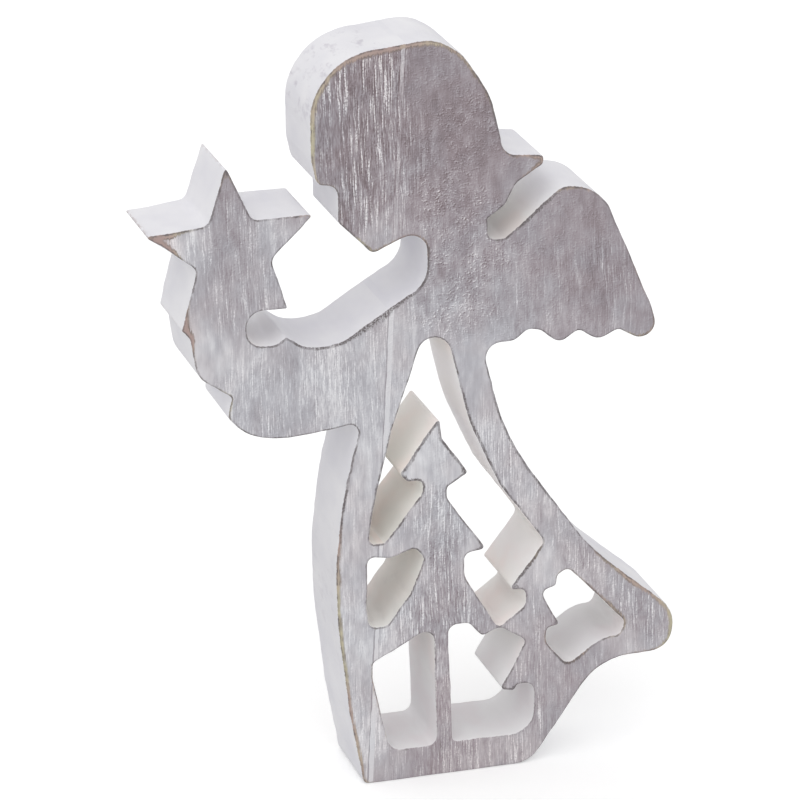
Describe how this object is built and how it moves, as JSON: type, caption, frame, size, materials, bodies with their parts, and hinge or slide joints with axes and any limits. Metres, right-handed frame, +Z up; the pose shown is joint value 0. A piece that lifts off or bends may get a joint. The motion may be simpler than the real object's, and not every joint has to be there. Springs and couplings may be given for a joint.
{
  "type": "angel figurine",
  "caption": "Free-standing flat wooden figure of an angel in side view, holding up a star, with a wing and a fretted skirt that frames fir trees.",
  "frame": {"origin": "on the flat base, under the trunk of the large tree, in the middle of the board's thickness", "axes": "+X from the star towards the wing, +Y from the front face to the back face, +Z up"},
  "size_m": [0.1389, 0.025, 0.2006],
  "materials": {
    "washed_wood": "grey-mauve wash rubbed with white over straight grain on the faces, matt white on the sawn edges",
    "glue": "pale matt filler, sanded flush"
  },
  "bodies": {
    "root": {"body_stave": "washed_wood", "face_stave": "washed_wood", "arm_stave": "washed_wood", "glue_line_hem": "glue", "glue_line_lower_branch": "glue", "glue_line_upper_branch": "glue", "glue_line_chest": "glue", "glue_line_head": "glue"}
  },
  "joints": []
}
